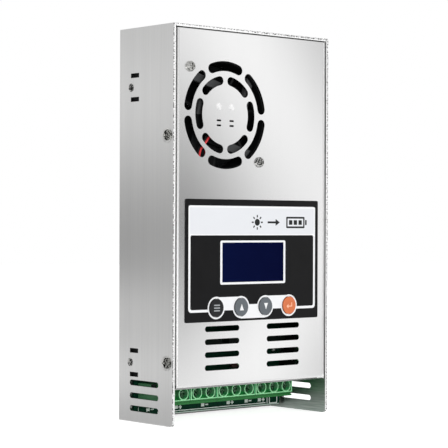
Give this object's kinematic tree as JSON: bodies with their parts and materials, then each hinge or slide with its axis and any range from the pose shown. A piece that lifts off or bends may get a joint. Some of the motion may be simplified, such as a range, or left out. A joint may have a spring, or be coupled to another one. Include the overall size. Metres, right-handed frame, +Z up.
{
  "type": "solar charge controller",
  "caption": "Wall-mounted charge controller in a folded metal case, with a cooling fan, a display panel with keys and a row of screw terminals.",
  "frame": {"origin": "middle of the footprint, at the height of the case's lower edges, halfway between the fan screws' heads in front and the back face", "axes": "+Z up along the case, +Y from the front cover to the back face, +X to the right seen from the front"},
  "size_m": [0.1174, 0.05, 0.215],
  "materials": {
    "case_sheet": "brushed",
    "cover_sheet": "satin",
    "zinc_steel": "bright",
    "label_film": "fine matt film",
    "window_lens": "polished",
    "key_black": "satin",
    "key_grey": "satin",
    "key_orange": "satin",
    "lcd_frame": "dull",
    "lcd_cell": "polished",
    "pcb_green": "solder mask",
    "black_plastic": "moulded",
    "steel": "ground",
    "bronze": "sintered",
    "brass": "turned",
    "nickel": "plated",
    "copper": "enamelled",
    "stator_iron": "laminated, wound",
    "wire_red": "insulation",
    "wire_black": "insulation",
    "ivory_plastic": "moulded",
    "film": "sheet",
    "terminal_green": "moulded",
    "sink_aluminium": "extruded",
    "sleeve": "shrink sleeve",
    "core_yellow": "coated",
    "fuse_green": "moulded",
    "ribbon_grey": "flat cable"
  },
  "bodies": {
    "case": {"chassis": "case_sheet", "front_cover": "cover_sheet", "cover_screws": "zinc_steel", "label_overlay": "label_film", "display_window": "window_lens", "lcd_bezel": "lcd_frame", "lcd_glass": "lcd_cell", "display_board": "pcb_green", "display_posts": "brass", "tact_switches": "black_plastic", "fan_frame": "black_plastic", "fan_bearing": "bronze", "fan_stator": "stator_iron", "fan_screws": "zinc_steel", "fan_nuts": "zinc_steel", "fan_lead": "wire_red", "fan_lead_black": "wire_black", "fan_plug": "ivory_plastic", "main_board": "pcb_green", "board_standoffs": "brass", "board_screws": "zinc_steel", "insulation_sheet": "film", "terminal_housings": "terminal_green", "terminal_contacts": "nickel", "heatsink": "sink_aluminium", "power_transistors": "black_plastic", "inner_screws": "zinc_steel", "capacitors": "sleeve", "inductor_cores": "core_yellow", "inductor_windings": "copper", "fuses": "fuse_green", "controller_chip": "black_plastic", "ribbon_cable": "ribbon_grey", "ribbon_connectors": "black_plastic"},
    "fan_wheel": {"fan_rotor": "black_plastic", "fan_shaft": "steel"},
    "menu_key": {"key_menu": "key_black"},
    "up_key": {"key_up": "key_grey"},
    "down_key": {"key_down": "key_grey"},
    "enter_key": {"key_enter": "key_orange"},
    "plate_1": {"clamp_plate_1": "steel"},
    "screw_1": {"clamp_screw_1": "steel"},
    "plate_2": {"clamp_plate_2": "steel"},
    "screw_2": {"clamp_screw_2": "steel"},
    "plate_3": {"clamp_plate_3": "steel"},
    "screw_3": {"clamp_screw_3": "steel"},
    "plate_4": {"clamp_plate_4": "steel"},
    "screw_4": {"clamp_screw_4": "steel"},
    "plate_5": {"clamp_plate_5": "steel"},
    "screw_5": {"clamp_screw_5": "steel"},
    "plate_6": {"clamp_plate_6": "steel"},
    "screw_6": {"clamp_screw_6": "steel"},
    "plate_7": {"clamp_plate_7": "steel"},
    "screw_7": {"clamp_screw_7": "steel"},
    "plate_8": {"clamp_plate_8": "steel"},
    "screw_8": {"clamp_screw_8": "steel"},
    "plate_9": {"clamp_plate_9": "steel"},
    "screw_9": {"clamp_screw_9": "steel"},
    "plate_10": {"clamp_plate_10": "steel"},
    "screw_10": {"clamp_screw_10": "steel"}
  },
  "joints": [
    {"name": "fan_spin", "type": "hinge", "parent": "case", "child": "fan_wheel", "pos_m": [-0.021, -0.015, 0.1675], "axis": [0, 1, 0], "continuous": true},
    {"name": "menu_press", "type": "slide", "parent": "case", "child": "menu_key", "axis": [0, 1, 0], "range_m": [0, 0.0003], "stiffness_N_per_m": 6000},
    {"name": "up_press", "type": "slide", "parent": "case", "child": "up_key", "axis": [0, 1, 0], "range_m": [0, 0.0003], "stiffness_N_per_m": 6000},
    {"name": "down_press", "type": "slide", "parent": "case", "child": "down_key", "axis": [0, 1, 0], "range_m": [0, 0.0003], "stiffness_N_per_m": 6000},
    {"name": "enter_press", "type": "slide", "parent": "case", "child": "enter_key", "axis": [0, 1, 0], "range_m": [0, 0.0003], "stiffness_N_per_m": 6000},
    {"name": "plate_slide_1", "type": "slide", "parent": "case", "child": "plate_1", "axis": [0, 1, 0], "range_m": [0, 0.0035]},
    {"name": "screw_turn_1", "type": "hinge", "parent": "plate_1", "child": "screw_1", "pos_m": [-0.0443, -0.005, 0.015], "axis": [0, 1, 0], "range_deg": [0, 1800]},
    {"name": "plate_slide_2", "type": "slide", "parent": "case", "child": "plate_2", "axis": [0, 1, 0], "range_m": [0, 0.0035]},
    {"name": "screw_turn_2", "type": "hinge", "parent": "plate_2", "child": "screw_2", "pos_m": [-0.0348, -0.005, 0.015], "axis": [0, 1, 0], "range_deg": [0, 1800]},
    {"name": "plate_slide_3", "type": "slide", "parent": "case", "child": "plate_3", "axis": [0, 1, 0], "range_m": [0, 0.0035]},
    {"name": "screw_turn_3", "type": "hinge", "parent": "plate_3", "child": "screw_3", "pos_m": [-0.025, -0.005, 0.015], "axis": [0, 1, 0], "range_deg": [0, 1800]},
    {"name": "plate_slide_4", "type": "slide", "parent": "case", "child": "plate_4", "axis": [0, 1, 0], "range_m": [0, 0.0035]},
    {"name": "screw_turn_4", "type": "hinge", "parent": "plate_4", "child": "screw_4", "pos_m": [-0.0155, -0.005, 0.015], "axis": [0, 1, 0], "range_deg": [0, 1800]},
    {"name": "plate_slide_5", "type": "slide", "parent": "case", "child": "plate_5", "axis": [0, 1, 0], "range_m": [0, 0.0035]},
    {"name": "screw_turn_5", "type": "hinge", "parent": "plate_5", "child": "screw_5", "pos_m": [-0.0057, -0.005, 0.015], "axis": [0, 1, 0], "range_deg": [0, 1800]},
    {"name": "plate_slide_6", "type": "slide", "parent": "case", "child": "plate_6", "axis": [0, 1, 0], "range_m": [0, 0.0035]},
    {"name": "screw_turn_6", "type": "hinge", "parent": "plate_6", "child": "screw_6", "pos_m": [0.0038, -0.005, 0.015], "axis": [0, 1, 0], "range_deg": [0, 1800]},
    {"name": "plate_slide_7", "type": "slide", "parent": "case", "child": "plate_7", "axis": [0, 1, 0], "range_m": [0, 0.0035]},
    {"name": "screw_turn_7", "type": "hinge", "parent": "plate_7", "child": "screw_7", "pos_m": [0.0133, -0.005, 0.015], "axis": [0, 1, 0], "range_deg": [0, 1800]},
    {"name": "plate_slide_8", "type": "slide", "parent": "case", "child": "plate_8", "axis": [0, 1, 0], "range_m": [0, 0.0035]},
    {"name": "screw_turn_8", "type": "hinge", "parent": "plate_8", "child": "screw_8", "pos_m": [0.0231, -0.005, 0.015], "axis": [0, 1, 0], "range_deg": [0, 1800]},
    {"name": "plate_slide_9", "type": "slide", "parent": "case", "child": "plate_9", "axis": [0, 1, 0], "range_m": [0, 0.0035]},
    {"name": "screw_turn_9", "type": "hinge", "parent": "plate_9", "child": "screw_9", "pos_m": [0.0326, -0.005, 0.015], "axis": [0, 1, 0], "range_deg": [0, 1800]},
    {"name": "plate_slide_10", "type": "slide", "parent": "case", "child": "plate_10", "axis": [0, 1, 0], "range_m": [0, 0.0035]},
    {"name": "screw_turn_10", "type": "hinge", "parent": "plate_10", "child": "screw_10", "pos_m": [0.0421, -0.005, 0.015], "axis": [0, 1, 0], "range_deg": [0, 1800]}
  ],
  "couplings": [
    {"joint": "screw_turn_1", "follows": "plate_slide_1", "rad_per_m": 8975},
    {"joint": "screw_turn_2", "follows": "plate_slide_2", "rad_per_m": 8975},
    {"joint": "screw_turn_3", "follows": "plate_slide_3", "rad_per_m": 8975},
    {"joint": "screw_turn_4", "follows": "plate_slide_4", "rad_per_m": 8975},
    {"joint": "screw_turn_5", "follows": "plate_slide_5", "rad_per_m": 8975},
    {"joint": "screw_turn_6", "follows": "plate_slide_6", "rad_per_m": 8975},
    {"joint": "screw_turn_7", "follows": "plate_slide_7", "rad_per_m": 8975},
    {"joint": "screw_turn_8", "follows": "plate_slide_8", "rad_per_m": 8975},
    {"joint": "screw_turn_9", "follows": "plate_slide_9", "rad_per_m": 8975},
    {"joint": "screw_turn_10", "follows": "plate_slide_10", "rad_per_m": 8975}
  ]
}
